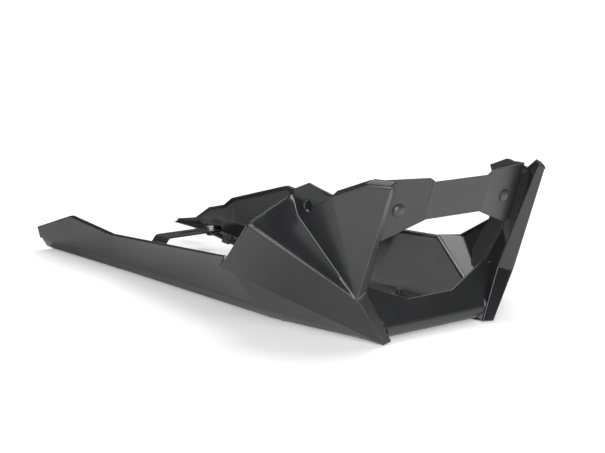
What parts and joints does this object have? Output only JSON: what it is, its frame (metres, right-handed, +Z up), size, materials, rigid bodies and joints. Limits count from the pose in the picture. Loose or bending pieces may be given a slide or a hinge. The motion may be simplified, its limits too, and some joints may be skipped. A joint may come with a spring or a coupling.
{
  "type": "motorcycle belly pan",
  "caption": "Faceted motorcycle belly pan: two thin moulded side panels joined by a folded front bracket, a front plate with side arms and a rear strap.",
  "frame": {"origin": "bottom centre of the overall box: on the centre plane, half way along, level with the undersides of the floor screws' heads", "axes": "+X forward on the motorcycle, +Y to its left, +Z up"},
  "size_m": [0.623, 0.346, 0.1522],
  "materials": {
    "panel_plastic": "fine textured satin black",
    "coated_sheet": "satin black powder coat",
    "black_fastener": "satin black",
    "zinc_fastener": "zinc plated"
  },
  "bodies": {
    "root": {"right_side_panel": "panel_plastic", "left_side_panel": "panel_plastic", "upper_front_bracket": "coated_sheet", "lower_front_plate": "coated_sheet", "rear_strap": "coated_sheet", "dome_bolt_right": "black_fastener", "dome_bolt_left": "black_fastener", "dome_washer_right": "zinc_fastener", "dome_washer_left": "zinc_fastener", "dome_nut_right": "zinc_fastener", "dome_nut_left": "zinc_fastener", "plate_screw_right": "black_fastener", "plate_screw_left": "black_fastener", "plate_nut_right": "zinc_fastener", "plate_nut_left": "zinc_fastener", "strap_screw_right": "black_fastener", "strap_screw_left": "black_fastener", "strap_nut_right": "zinc_fastener", "strap_nut_left": "zinc_fastener", "floor_clip_front_right": "black_fastener", "floor_clip_front_left": "black_fastener", "floor_clip_rear_right": "black_fastener", "floor_clip_rear_left": "black_fastener", "floor_screw_front_right": "black_fastener", "floor_screw_front_left": "black_fastener", "floor_screw_rear_right": "black_fastener", "floor_screw_rear_left": "black_fastener"}
  },
  "joints": []
}
